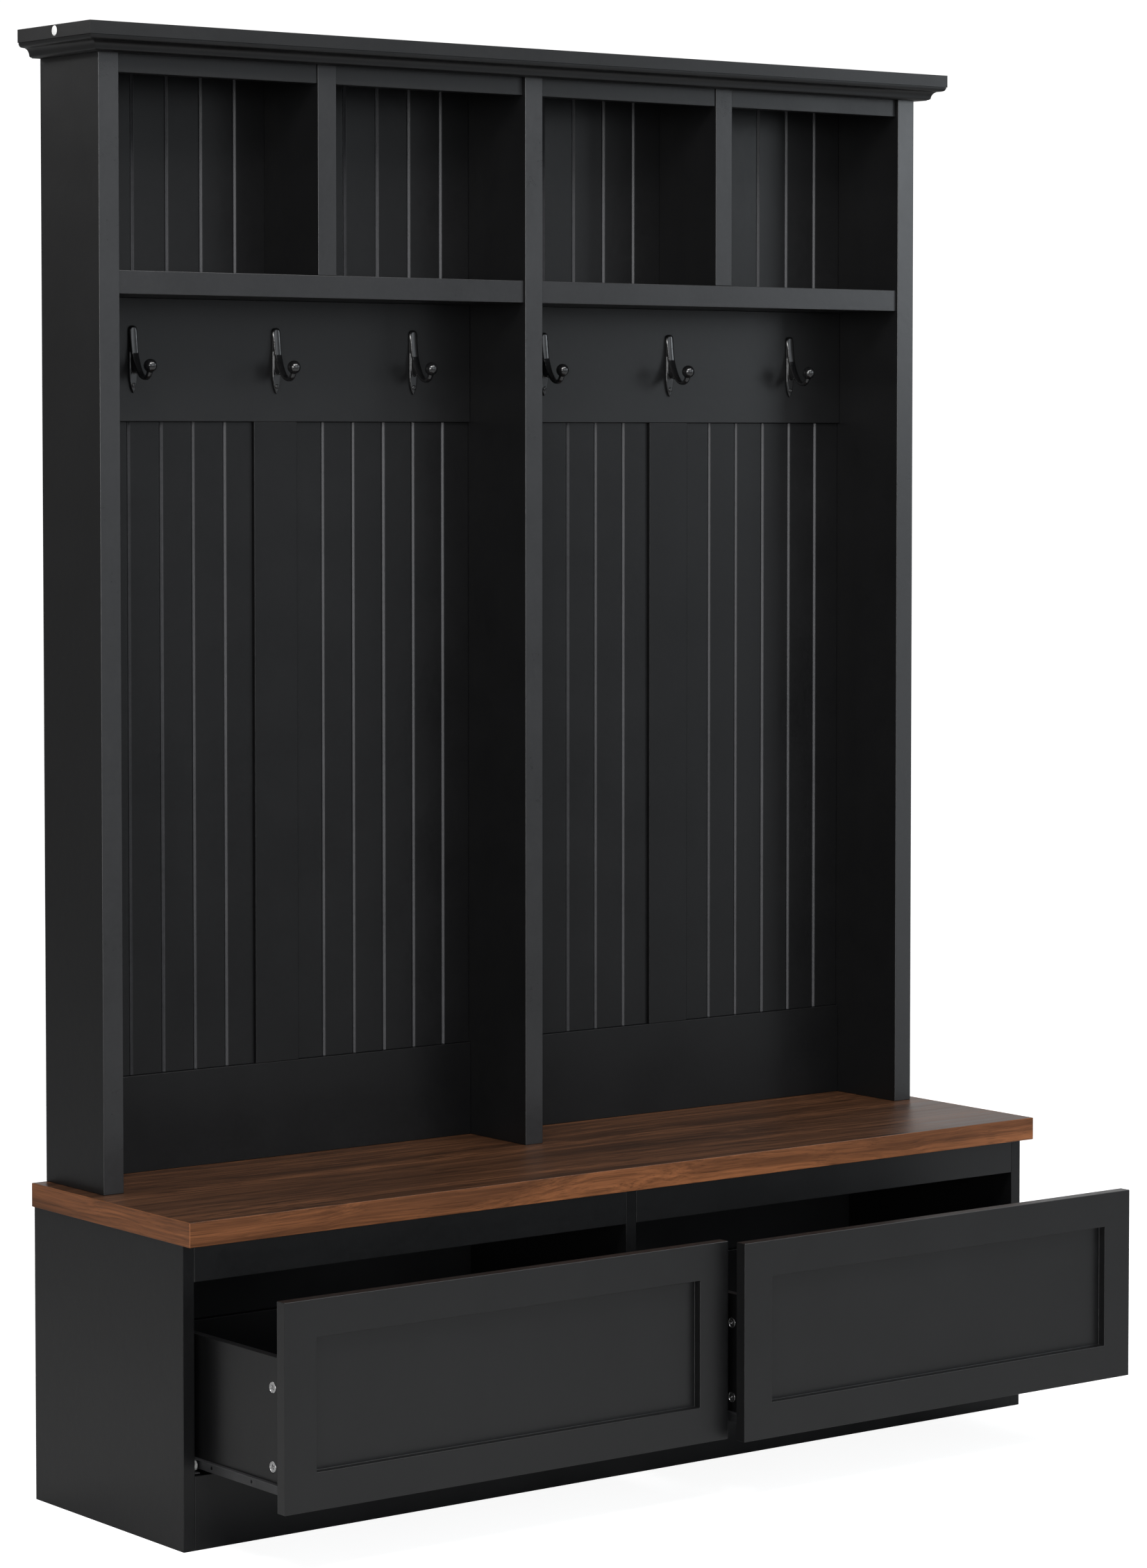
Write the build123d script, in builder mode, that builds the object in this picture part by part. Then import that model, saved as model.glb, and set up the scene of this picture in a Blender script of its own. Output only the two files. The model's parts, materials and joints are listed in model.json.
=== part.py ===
from build123d import *
import os

# Hall tree: a low bench with two drawers, and a shallow hutch above it with four cubbies,
# two coat bays, six hooks and a moulded cornice.  Millimetres, +Z up, the front faces -Y.
# The origin is on the floor, under the middle of the whole object with its drawers as drawn.

os.makedirs("parts", exist_ok=True)

# ---- driving dimensions -------------------------------------------------------------------
TOTAL_HEIGHT = 2030.0

BASE_WIDTH = 1505.0          # over the two side panels
BASE_DEPTH = 381.0
BASE_HEIGHT = 410.0          # underside of the bench top
BASE_PANEL = 18.0            # side panels, divider, rails and plinth
BASE_RAIL = 51.5             # height of the rail under the bench top
PLINTH_HEIGHT = 100.0
HARDBOARD = 3.0

BENCH_WIDTH = 1513.0
BENCH_DEPTH = 405.5
BENCH_THICKNESS = 33.0

HUTCH_WIDTH = 1466.0
HUTCH_DEPTH = 152.0
HUTCH_SIDE = 32.0
HUTCH_DIVIDER = 31.0
SHELF_TOP = 1700.0
SHELF_THICKNESS = 32.0
SHELF_SETBACK = 4.0          # shelf and cubby dividers, behind the side panels' front edges
TOP_RAIL_SETBACK = 6.0
TOP_RAIL_BOTTOM = 1966.5
TOP_RAIL_DEPTH = 18.0
TOP_PANEL = 18.0

BACK_BOARD = 16.0            # hook board, stile and lower board of the hutch's back
BEAD_FACE = 11.0             # front face of the beadboard, ahead of the rear plane
CUBBY_BACK_FACE = 12.0
BEAD_SHEET = 9.0
HOOK_BOARD_BOTTOM = 1496.0
LOWER_BOARD_TOP = 580.0
STILE_WIDTH = 73.0
GROOVE_WIDTH = 6.0
GROOVE_DEPTH = 3.0
BAY_GROOVE_PITCH = 53.0
CUBBY_GROOVE_PITCH = 56.4

CORNICE_WIDTH = 1537.0
CORNICE_DEPTH = 190.0
CORNICE_BOARD = 18.0
CROWN_HEIGHT = 20.0
CROWN_PACKING = 3.0          # the front moulding stands this much further out than the returns

HOOK_PITCH = 238.8
HOOK_BOTTOM = 1535.0
HOOK_HEIGHT = 94.5
HOOK_PLATE_WIDTH = 14.0
HOOK_PLATE = 4.0
HOOK_STRAP_WIDTH = 12.4
HOOK_ARM_WIDTH = 9.4
HOOK_BALL = 19.0

DRAWER_FRONT_HEIGHT = 276.0
DRAWER_FRONT_BOTTOM = 89.0
DRAWER_FRONT_OUTER = 738.0   # outer edge of each front from the middle of the object
DRAWER_FRONT_GAP = 3.0       # between the two fronts
DRAWER_FRONT = 18.0
DRAWER_FRAME = 50.0          # width of the front's raised frame
DRAWER_RECESS = 12.0
DRAWER_SHUT_GAP = 1.0
DRAWER_SIDE = 12.0
DRAWER_DEPTH = 308.0
DRAWER_BOTTOM = 121.0
DRAWER_TOP = 286.0
DRAWER_GROOVE = 5.0          # how far the bottom sheet enters the sides and the front
DRAWER_FLOOR = 130.0         # underside of the bottom sheet
OPEN_LEFT = 200.0            # how far each drawer is drawn out as modelled
OPEN_RIGHT = 232.0           # this one stands at its stop

RUNNER_GAP = 12.5            # between a drawer side and the panel beside it
RUNNER_LENGTH = 300.0
RUNNER_SHEET = 1.2
RUNNER_BOTTOM = 102.0
RUNNER_HEIGHT = 20.0
ROLLER_RADIUS = 7.8
ROLLER_WIDTH = 7.0
AXLE_RADIUS = 2.5
AXLE_CLEARANCE = 0.1

CAM_RADIUS = 7.5
CAM_DEPTH = 9.0
CAM_FROM_END = 35.0
CAM_HEIGHTS = (141.0, 245.0)

# ---- places worked out from the dimensions above ------------------------------------------
# Y is first counted from the object's rear plane, negative to the front, and every piece is
# then shifted by REAR so that the drawn-out object is centred on the origin.
FRONT_MOST = BASE_DEPTH + DRAWER_SHUT_GAP + OPEN_RIGHT + DRAWER_FRONT
REAR = FRONT_MOST / 2

BENCH_TOP = BASE_HEIGHT + BENCH_THICKNESS
CORNICE_BOTTOM = TOTAL_HEIGHT - CORNICE_BOARD
CROWN_BOTTOM = CORNICE_BOTTOM - CROWN_HEIGHT
TOP_PANEL_BOTTOM = CORNICE_BOTTOM - TOP_PANEL
SHELF_BOTTOM = SHELF_TOP - SHELF_THICKNESS
HUTCH_HALF = HUTCH_WIDTH / 2
HUTCH_INNER = HUTCH_HALF - HUTCH_SIDE
DIVIDER_HALF = HUTCH_DIVIDER / 2
CUBBY_CENTRE = (HUTCH_INNER + DIVIDER_HALF) / 2
SETBACK_FRONT = -HUTCH_DEPTH + SHELF_SETBACK
TOP_RAIL_FRONT = -HUTCH_DEPTH + TOP_RAIL_SETBACK
BASE_HALF = BASE_WIDTH / 2
BASE_INNER = BASE_HALF - BASE_PANEL
BASE_DIVIDER_HALF = BASE_PANEL / 2
SIDES = {"left": -1, "right": 1}


def save(piece, label):
    """Label a finished piece and write it as its own STEP file."""
    piece.part.label = label
    export_step(piece.part, f"parts/{label}.step")


def span(low, high):
    """The lower and higher of two coordinates, in order."""
    return (min(low, high), max(low, high))


def block(x, y, z, mode=Mode.ADD):
    """A rectangular block between three pairs of limits; y is counted from the rear plane."""
    (x0, x1), (y0, y1), (z0, z1) = span(*x), span(*y), span(*z)
    centre = ((x0 + x1) / 2, (y0 + y1) / 2 + REAR, (z0 + z1) / 2)
    with Locations(centre):
        Box(x1 - x0, y1 - y0, z1 - z0, mode=mode)


def board(label, x, y, z):
    """One plain rectangular board, saved as its own piece."""
    with BuildPart() as piece:
        block(x, y, z)
    save(piece, label)


def grooved_board(label, x, face, z, grooves):
    """A sheet with upright V grooves in its front face, which stands at y = -face."""
    with BuildPart() as piece:
        block(x, (-face, -face + BEAD_SHEET), z)
        with BuildSketch(Plane.XY.offset(z[0])):
            with Locations(*[(groove, REAR - face) for groove in grooves]):
                Polygon(
                    (-GROOVE_WIDTH / 2, 0), (0, GROOVE_DEPTH), (GROOVE_WIDTH / 2, 0),
                    align=None,
                )
        extrude(amount=z[1] - z[0], mode=Mode.SUBTRACT)
    save(piece, label)


# ---- bench base ---------------------------------------------------------------------------
PANEL_BACK = -2 * HARDBOARD          # rear edge of what stands in front of the back panel

for name, side in SIDES.items():
    board(
        f"base_side_{name}",
        (side * BASE_INNER, side * BASE_HALF), (-BASE_DEPTH, 0), (0, BASE_HEIGHT),
    )
    board(
        f"base_top_rail_{name}",
        (side * BASE_DIVIDER_HALF, side * BASE_INNER),
        (-BASE_DEPTH, -BASE_DEPTH + BASE_PANEL), (BASE_HEIGHT - BASE_RAIL, BASE_HEIGHT),
    )

board(
    "base_plinth",
    (-BASE_INNER, BASE_INNER), (-BASE_DEPTH, -BASE_DEPTH + BASE_PANEL), (0, PLINTH_HEIGHT),
)
board(
    "base_back_panel",
    (-BASE_INNER, BASE_INNER), (PANEL_BACK, PANEL_BACK + HARDBOARD), (0, BASE_HEIGHT),
)

# The divider stands behind the plinth and runs up to the bench top between the two rails.
with BuildPart() as base_divider:
    block((-BASE_DIVIDER_HALF, BASE_DIVIDER_HALF), (-BASE_DEPTH, PANEL_BACK), (0, BASE_HEIGHT))
    block(
        (-BASE_DIVIDER_HALF, BASE_DIVIDER_HALF), (-BASE_DEPTH, -BASE_DEPTH + BASE_PANEL),
        (0, PLINTH_HEIGHT), mode=Mode.SUBTRACT,
    )
save(base_divider, "base_divider")

with BuildPart() as bench_top:
    block((-BENCH_WIDTH / 2, BENCH_WIDTH / 2), (-BENCH_DEPTH, 0), (BASE_HEIGHT, BENCH_TOP))
    fillet(bench_top.edges().filter_by(Axis.X).group_by(Axis.Y)[0], radius=1.0)
save(bench_top, "bench_top")

# ---- hutch frame --------------------------------------------------------------------------
board(
    "hutch_divider",
    (-DIVIDER_HALF, DIVIDER_HALF), (-HUTCH_DEPTH, 0), (BENCH_TOP, TOP_PANEL_BOTTOM),
)
board(
    "hutch_top_panel",
    (-HUTCH_INNER, HUTCH_INNER), (TOP_RAIL_FRONT + TOP_RAIL_DEPTH, 0),
    (TOP_PANEL_BOTTOM, CORNICE_BOTTOM),
)
for name, side in SIDES.items():
    board(
        f"hutch_side_{name}",
        (side * HUTCH_INNER, side * HUTCH_HALF), (-HUTCH_DEPTH, 0), (BENCH_TOP, CORNICE_BOTTOM),
    )
    board(
        f"shelf_{name}",
        (side * DIVIDER_HALF, side * HUTCH_INNER), (SETBACK_FRONT, 0), (SHELF_BOTTOM, SHELF_TOP),
    )
    centre = side * CUBBY_CENTRE
    board(
        f"cubby_divider_{name}",
        (centre - DIVIDER_HALF, centre + DIVIDER_HALF), (SETBACK_FRONT, -CUBBY_BACK_FACE),
        (SHELF_TOP, TOP_PANEL_BOTTOM),
    )

# Four short rails close the top of the cubbies, one over each.
with BuildPart() as top_rails:
    for side in SIDES.values():
        for near, far in (
            (DIVIDER_HALF, CUBBY_CENTRE - DIVIDER_HALF),
            (CUBBY_CENTRE + DIVIDER_HALF, HUTCH_INNER),
        ):
            block(
                (side * near, side * far), (TOP_RAIL_FRONT, TOP_RAIL_FRONT + TOP_RAIL_DEPTH),
                (TOP_RAIL_BOTTOM, CORNICE_BOTTOM),
            )
save(top_rails, "top_rails")

# ---- hutch back ---------------------------------------------------------------------------
for name, side in SIDES.items():
    bay_left, bay_right = span(side * DIVIDER_HALF, side * HUTCH_INNER)
    centre = side * CUBBY_CENTRE
    stile_left = centre - STILE_WIDTH / 2
    stile_right = centre + STILE_WIDTH / 2
    upright = (LOWER_BOARD_TOP, HOOK_BOARD_BOTTOM)
    for label, bottom, top in (
        ("hook_board", HOOK_BOARD_BOTTOM, SHELF_BOTTOM), ("lower_back_board", BENCH_TOP, upright[0])
    ):
        board(f"{label}_{name}", (bay_left, bay_right), (-BACK_BOARD, 0), (bottom, top))
    board(f"back_stile_{name}", (stile_left, stile_right), (-BACK_BOARD, 0), upright)
    for place, low, high in (("a", bay_left, stile_left), ("b", stile_right, bay_right)):
        grooves = [(low + high) / 2 + BAY_GROOVE_PITCH * k for k in range(-2, 3)]
        grooved_board(f"beadboard_{name}_{place}", (low, high), BEAD_FACE, upright, grooves)
    cubby_centres = [
        (bay_left + centre - DIVIDER_HALF) / 2, (bay_right + centre + DIVIDER_HALF) / 2
    ]
    grooved_board(
        f"cubby_back_{name}", (bay_left, bay_right), CUBBY_BACK_FACE,
        (SHELF_TOP, TOP_PANEL_BOTTOM),
        [middle + CUBBY_GROOVE_PITCH * k for middle in cubby_centres for k in range(-2, 3)],
    )

# ---- cornice ------------------------------------------------------------------------------
CAP_HOLE_RADIUS = 7.2
CAP_HOLE_DEPTH = 3.0
CAP_FROM_REAR = 97.0
CAP_HEIGHT = CORNICE_BOTTOM + 10.0
# Moulding profile: distance out from the hutch, height above the moulding's underside.
CROWN_BOTTOM_OUT = 13.0
CROWN_COVE_START = (17.0, 2.5)
CROWN_COVE_MIDDLE = (18.8, 8.6)
CROWN_COVE_END = (23.0, 13.0)
CROWN_BEAD_START = (30.0, 14.5)
CROWN_BEAD_MIDDLE = (32.8, 15.7)
CROWN_BEAD_END = (34.0, 18.5)


with BuildSketch() as crown_profile:
    with BuildLine():
        Polyline((0, 0), (CROWN_BOTTOM_OUT, 0), CROWN_COVE_START)
        ThreePointArc(CROWN_COVE_START, CROWN_COVE_MIDDLE, CROWN_COVE_END)
        Line(CROWN_COVE_END, CROWN_BEAD_START)
        ThreePointArc(CROWN_BEAD_START, CROWN_BEAD_MIDDLE, CROWN_BEAD_END)
        Polyline(CROWN_BEAD_END, (CROWN_BEAD_END[0], CROWN_HEIGHT), (0, CROWN_HEIGHT), (0, 0))
    make_face()

MITRE = CROWN_BEAD_END[0] + 6
CROWN_CORNER = -HUTCH_DEPTH - CROWN_PACKING

with BuildPart() as cornice_board:
    block((-CORNICE_WIDTH / 2, CORNICE_WIDTH / 2), (-CORNICE_DEPTH, 0),
          (CORNICE_BOTTOM, TOTAL_HEIGHT))
    for side in SIDES.values():
        end = side * CORNICE_WIDTH / 2
        with BuildSketch(Plane((end, REAR - CAP_FROM_REAR, CAP_HEIGHT), z_dir=(-side, 0, 0))):
            Circle(CAP_HOLE_RADIUS)
        extrude(amount=CAP_HOLE_DEPTH, mode=Mode.SUBTRACT)
save(cornice_board, "cornice_board")

with BuildPart() as cornice_end_caps:
    for side in SIDES.values():
        bottom = side * (CORNICE_WIDTH / 2 - CAP_HOLE_DEPTH)
        with BuildSketch(Plane((bottom, REAR - CAP_FROM_REAR, CAP_HEIGHT), z_dir=(side, 0, 0))):
            Circle(CAP_HOLE_RADIUS)
        extrude(amount=CAP_HOLE_DEPTH)
save(cornice_end_caps, "cornice_end_caps")

with BuildPart() as crown_front:
    with BuildSketch(Plane((0, REAR + CROWN_CORNER, CROWN_BOTTOM), x_dir=(0, -1, 0),
                           z_dir=(-1, 0, 0))):
        add(crown_profile.sketch)
    extrude(amount=CORNICE_WIDTH / 2, both=True)
    block((-HUTCH_HALF, HUTCH_HALF), (CROWN_CORNER, -HUTCH_DEPTH), (CROWN_BOTTOM, CORNICE_BOTTOM))
    with BuildSketch(Plane((0, REAR, CROWN_BOTTOM))):
        Polygon(
            (-HUTCH_HALF, -HUTCH_DEPTH), (-HUTCH_HALF, CROWN_CORNER),
            (-HUTCH_HALF - MITRE, CROWN_CORNER - MITRE),
            (HUTCH_HALF + MITRE, CROWN_CORNER - MITRE),
            (HUTCH_HALF, CROWN_CORNER), (HUTCH_HALF, -HUTCH_DEPTH),
            align=None,
        )
    extrude(amount=CROWN_HEIGHT, mode=Mode.INTERSECT)
save(crown_front, "crown_front")

for name, side in SIDES.items():
    with BuildPart() as crown_return:
        with BuildSketch(Plane((side * HUTCH_HALF, REAR, CROWN_BOTTOM), x_dir=(side, 0, 0),
                               z_dir=(0, -side, 0))):
            add(crown_profile.sketch)
        extrude(amount=side * (HUTCH_DEPTH + MITRE + CROWN_PACKING))
        with BuildSketch(Plane((0, REAR, CROWN_BOTTOM))):
            Polygon(
                (side * HUTCH_HALF, 0), (side * HUTCH_HALF, CROWN_CORNER),
                (side * (HUTCH_HALF + MITRE), CROWN_CORNER - MITRE),
                (side * (HUTCH_HALF + MITRE), 0),
                align=None,
            )
        extrude(amount=CROWN_HEIGHT, mode=Mode.INTERSECT)
    save(crown_return, f"crown_return_{name}")

# ---- hooks --------------------------------------------------------------------------------
# Each hook is one casting: a leaf-shaped plate, a strap that leaves the plate's top and sweeps
# forward and down on a solid web, an arm that dips at the strap's foot, and a ball on the
# arm's end.  Heights are counted from the plate's lower tip, and distances out from the
# board's face.
HOOK_X = [HOOK_PITCH * (number - 2.5) for number in range(6)]
HOOK_FACE = REAR - BACK_BOARD
HOOK_LEAF = 30.0             # height at which the plate reaches its full width
BALL_OUT = 47.5
BALL_HEIGHT = 38.0
STRAP_FRONT = [(5, 90.5), (6.5, 76), (9.5, 56), (13.5, 46), (19, 36), (25, 28.5), (31, 24.5),
               (36, 23.8), (41, 27)]
ARM_UNDERSIDE = [(50, 29), (46, 21.5), (40, 18), (33, 18), (26, 21), (20, 25.5), (12, 27.5), (2, 28)]
SCREW_HEIGHT = 11.0
SCREW_RADIUS = 2.0
SCREW_HEAD_RADIUS = 3.4
SCREW_HEAD = 1.6

for number, x in enumerate(HOOK_X, start=1):
    half = HOOK_PLATE_WIDTH / 2
    strap_half = HOOK_STRAP_WIDTH / 2
    arm_half = HOOK_ARM_WIDTH / 2
    with BuildPart() as hook:
        # strap, web and arm from the side: distance out from the board, then height
        with BuildSketch(Plane((x, HOOK_FACE, HOOK_BOTTOM), x_dir=(0, -1, 0), z_dir=(-1, 0, 0))):
            with BuildLine():
                Line((2, STRAP_FRONT[0][1]), STRAP_FRONT[0])
                Spline(*STRAP_FRONT)
                Line(STRAP_FRONT[-1], (BALL_OUT, BALL_HEIGHT))
                Line((BALL_OUT, BALL_HEIGHT), ARM_UNDERSIDE[0])
                Spline(*ARM_UNDERSIDE)
                Line(ARM_UNDERSIDE[-1], (2, STRAP_FRONT[0][1]))
            make_face()
        extrude(amount=strap_half, both=True)
        # the strap narrows towards the arm, as seen from the front
        with BuildSketch(Plane((x, HOOK_FACE, HOOK_BOTTOM), x_dir=(1, 0, 0), z_dir=(0, -1, 0))):
            Polygon(
                (-arm_half, 0), (arm_half, 0), (arm_half, 24), (strap_half, 54),
                (strap_half, HOOK_HEIGHT), (-strap_half, HOOK_HEIGHT), (-strap_half, 54), (-arm_half, 24),
                align=None,
            )
        extrude(amount=BALL_OUT + HOOK_BALL, mode=Mode.INTERSECT)
        # leaf-shaped plate against the board
        with BuildSketch(Plane((x, HOOK_FACE, HOOK_BOTTOM), x_dir=(1, 0, 0), z_dir=(0, -1, 0))):
            with BuildLine():
                Line((-half, HOOK_LEAF), (-half, HOOK_HEIGHT - half))
                ThreePointArc((-half, HOOK_HEIGHT - half), (0, HOOK_HEIGHT), (half, HOOK_HEIGHT - half))
                Line((half, HOOK_HEIGHT - half), (half, HOOK_LEAF))
                ThreePointArc((half, HOOK_LEAF), (half * 0.7, HOOK_LEAF * 0.36), (0, 0))
                ThreePointArc((0, 0), (-half * 0.7, HOOK_LEAF * 0.36), (-half, HOOK_LEAF))
            make_face()
        extrude(amount=HOOK_PLATE)
        with Locations((x, HOOK_FACE - BALL_OUT, HOOK_BOTTOM + BALL_HEIGHT)):
            Sphere(HOOK_BALL / 2)
        with BuildSketch(Plane((x, HOOK_FACE - HOOK_PLATE, HOOK_BOTTOM + SCREW_HEIGHT), z_dir=(0, 1, 0))):
            Circle(SCREW_RADIUS)
        extrude(amount=HOOK_PLATE, mode=Mode.SUBTRACT)
    save(hook, f"hook_{number}")

# One pan-head screw holds each hook; its shank fills its hole in the plate.
with BuildPart() as hook_screws:
    for x in HOOK_X:
        with BuildSketch(Plane((x, HOOK_FACE, HOOK_BOTTOM + SCREW_HEIGHT), z_dir=(0, -1, 0))):
            Circle(SCREW_RADIUS)
        extrude(amount=HOOK_PLATE)
        with BuildSketch(Plane((x, HOOK_FACE - HOOK_PLATE, HOOK_BOTTOM + SCREW_HEIGHT), z_dir=(0, -1, 0))):
            Circle(SCREW_HEAD_RADIUS)
        extrude(amount=SCREW_HEAD, taper=20)
save(hook_screws, "hook_screws")

# ---- drawer runners -----------------------------------------------------------------------
# Roller runners, one pair to a drawer.  The cabinet member has its roller at the front and the
# drawer member has its roller at the rear.  u is the distance from the panel's face towards
# the drawer.
RUNNER_FRONT = -BASE_DEPTH + 3.0
FRONT_ROLLER_Y = RUNNER_FRONT + 12.0
FRONT_ROLLER_Z = 111.7
REAR_ROLLER_Z = 111.5
FRONT_ROLLER_U = 2.0
REAR_ROLLER_U = 5.0
DRAWER_MEMBER_WEB = RUNNER_GAP + 0.8
WALLS = {
    "left": ((-BASE_INNER, 1), (-BASE_DIVIDER_HALF, -1)),
    "right": ((BASE_DIVIDER_HALF, 1), (BASE_INNER, -1)),
}
OPENINGS = {"left": OPEN_LEFT, "right": OPEN_RIGHT}


def strip(wall, u, y, z, mode=Mode.ADD):
    """A block beside a panel, where u is counted from the panel's face into the bay."""
    face, inward = wall
    block((face + inward * u[0], face + inward * u[1]), y, z, mode=mode)


def disc(wall, u, y, z, radius, mode=Mode.ADD):
    """A disc or stub on an axis along X beside a panel, from u[0] to u[1]."""
    face, inward = wall
    with Locations(Plane((face + inward * u[0], REAR + y, z), z_dir=(inward, 0, 0))):
        Cylinder(radius, u[1] - u[0], align=(Align.CENTER, Align.CENTER, Align.MIN), mode=mode)


with BuildPart() as cabinet_runners:
    for walls in WALLS.values():
        for wall in walls:
            length = (RUNNER_FRONT, RUNNER_FRONT + RUNNER_LENGTH)
            top = RUNNER_BOTTOM + RUNNER_HEIGHT
            strip(wall, (0, RUNNER_SHEET), length, (RUNNER_BOTTOM, top))
            strip(wall, (0, 10), length, (RUNNER_BOTTOM, RUNNER_BOTTOM + RUNNER_SHEET))
            strip(wall, (0, 5), length, (top - RUNNER_SHEET, top))
            disc(wall, (RUNNER_SHEET, FRONT_ROLLER_U + ROLLER_WIDTH + 0.5),
                 FRONT_ROLLER_Y, FRONT_ROLLER_Z, AXLE_RADIUS)
save(cabinet_runners, "cabinet_runners")


def rollers(label, walls, u, y, z):
    """The pair of plain rollers at one end of a drawer's runners."""
    with BuildPart() as pair:
        for wall in walls:
            disc(wall, (u, u + ROLLER_WIDTH), y, z, ROLLER_RADIUS)
            disc(wall, (u, u + ROLLER_WIDTH), y, z, AXLE_RADIUS + AXLE_CLEARANCE,
                 mode=Mode.SUBTRACT)
    save(pair, label)


# ---- drawers ------------------------------------------------------------------------------
for name, side in SIDES.items():
    walls = WALLS[name]
    rear_of_front = -BASE_DEPTH - DRAWER_SHUT_GAP - OPENINGS[name]
    box = (rear_of_front, rear_of_front + DRAWER_DEPTH)
    left_wall, right_wall = walls[0][0], walls[1][0]
    inner_left = left_wall + RUNNER_GAP + DRAWER_SIDE
    inner_right = right_wall - RUNNER_GAP - DRAWER_SIDE
    floor = (DRAWER_FLOOR, DRAWER_FLOOR + HARDBOARD)
    sheet = (
        (inner_left - DRAWER_GROOVE, inner_right + DRAWER_GROOVE),
        (rear_of_front - DRAWER_GROOVE, box[1]),
    )

    with BuildPart() as front:
        outline = span(side * DRAWER_FRONT_GAP / 2, side * DRAWER_FRONT_OUTER)
        front_face = rear_of_front - DRAWER_FRONT
        front_z = (DRAWER_FRONT_BOTTOM, DRAWER_FRONT_BOTTOM + DRAWER_FRONT_HEIGHT)
        block(outline, (front_face, rear_of_front), front_z)
        block(
            (outline[0] + DRAWER_FRAME, outline[1] - DRAWER_FRAME),
            (front_face, front_face + DRAWER_RECESS),
            (front_z[0] + DRAWER_FRAME, front_z[1] - DRAWER_FRAME), mode=Mode.SUBTRACT,
        )
        block(sheet[0], (rear_of_front - DRAWER_GROOVE, rear_of_front), floor,
              mode=Mode.SUBTRACT)
    save(front, f"drawer_{name}_front")

    for place, wall in zip(("left", "right"), walls):
        with BuildPart() as drawer_side:
            strip(wall, (RUNNER_GAP, RUNNER_GAP + DRAWER_SIDE), box, (DRAWER_BOTTOM, DRAWER_TOP))
            strip(wall, (RUNNER_GAP + DRAWER_SIDE - DRAWER_GROOVE, RUNNER_GAP + DRAWER_SIDE),
                  box, floor, mode=Mode.SUBTRACT)
            for y in (box[0] + CAM_FROM_END, box[1] - CAM_FROM_END):
                for z in CAM_HEIGHTS:
                    disc(wall, (RUNNER_GAP, RUNNER_GAP + CAM_DEPTH), y, z, CAM_RADIUS,
                         mode=Mode.SUBTRACT)
        save(drawer_side, f"drawer_{name}_side_{place}")

    with BuildPart() as cams:
        for wall in walls:
            for y in (box[0] + CAM_FROM_END, box[1] - CAM_FROM_END):
                for z in CAM_HEIGHTS:
                    disc(wall, (RUNNER_GAP, RUNNER_GAP + CAM_DEPTH), y, z, CAM_RADIUS)
                    disc(wall, (RUNNER_GAP, RUNNER_GAP + 2), y, z, 2.2, mode=Mode.SUBTRACT)
    save(cams, f"drawer_{name}_cams")

    board(
        f"drawer_{name}_back",
        (inner_left, inner_right), (box[1] - DRAWER_SIDE, box[1]), (floor[1], DRAWER_TOP),
    )
    board(f"drawer_{name}_bottom", sheet[0], sheet[1], floor)

    with BuildPart() as drawer_runners:
        for wall in walls:
            length = (rear_of_front, rear_of_front + RUNNER_LENGTH)
            flange = (DRAWER_BOTTOM - RUNNER_SHEET, DRAWER_BOTTOM)
            strip(wall, (6.5, RUNNER_GAP + DRAWER_SIDE), length, flange)
            strip(wall, (DRAWER_MEMBER_WEB, DRAWER_MEMBER_WEB + RUNNER_SHEET), length,
                  (RUNNER_BOTTOM + 4, DRAWER_BOTTOM - RUNNER_SHEET))
            disc(wall, (REAR_ROLLER_U - 0.5, DRAWER_MEMBER_WEB), length[1] - 10,
                 REAR_ROLLER_Z, AXLE_RADIUS)
    save(drawer_runners, f"drawer_{name}_runners")

    rollers(f"front_rollers_{name}", walls, FRONT_ROLLER_U, FRONT_ROLLER_Y, FRONT_ROLLER_Z)
    rollers(f"rear_rollers_{name}", walls, REAR_ROLLER_U,
            rear_of_front + RUNNER_LENGTH - 10, REAR_ROLLER_Z)
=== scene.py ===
import json
import math

import bmesh
import bpy
from mathutils import Matrix, Vector


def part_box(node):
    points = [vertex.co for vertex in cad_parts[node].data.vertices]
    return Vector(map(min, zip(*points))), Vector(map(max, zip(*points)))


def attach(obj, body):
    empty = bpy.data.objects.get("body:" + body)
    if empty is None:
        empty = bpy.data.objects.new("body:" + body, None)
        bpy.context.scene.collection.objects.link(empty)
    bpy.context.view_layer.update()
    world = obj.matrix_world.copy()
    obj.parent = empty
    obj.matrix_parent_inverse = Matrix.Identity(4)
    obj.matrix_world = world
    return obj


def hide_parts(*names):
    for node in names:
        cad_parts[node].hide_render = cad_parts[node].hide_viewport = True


# The looks of a hall tree: bench with two drawers, hutch with hooks, cubbies and a cornice.
# Metres, +Z up, front towards -Y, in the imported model's frame.

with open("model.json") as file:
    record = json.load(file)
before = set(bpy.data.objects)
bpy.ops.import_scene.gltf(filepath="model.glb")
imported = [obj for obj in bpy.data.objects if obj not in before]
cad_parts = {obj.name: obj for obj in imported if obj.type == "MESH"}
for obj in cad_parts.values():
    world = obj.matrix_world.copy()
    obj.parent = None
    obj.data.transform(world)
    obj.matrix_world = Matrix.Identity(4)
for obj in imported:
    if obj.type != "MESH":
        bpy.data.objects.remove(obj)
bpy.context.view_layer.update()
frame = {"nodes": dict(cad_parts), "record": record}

NODES = frame["nodes"]
RECORD = frame["record"]
BODY_OF = {n: b for b, members in RECORD["behaviour"]["bodies"].items() for n in members}
SLOT_OF = {s["node"]: s["material_slot"] for s in RECORD["subparts"]}
SIDES = ("left", "right")


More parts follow.
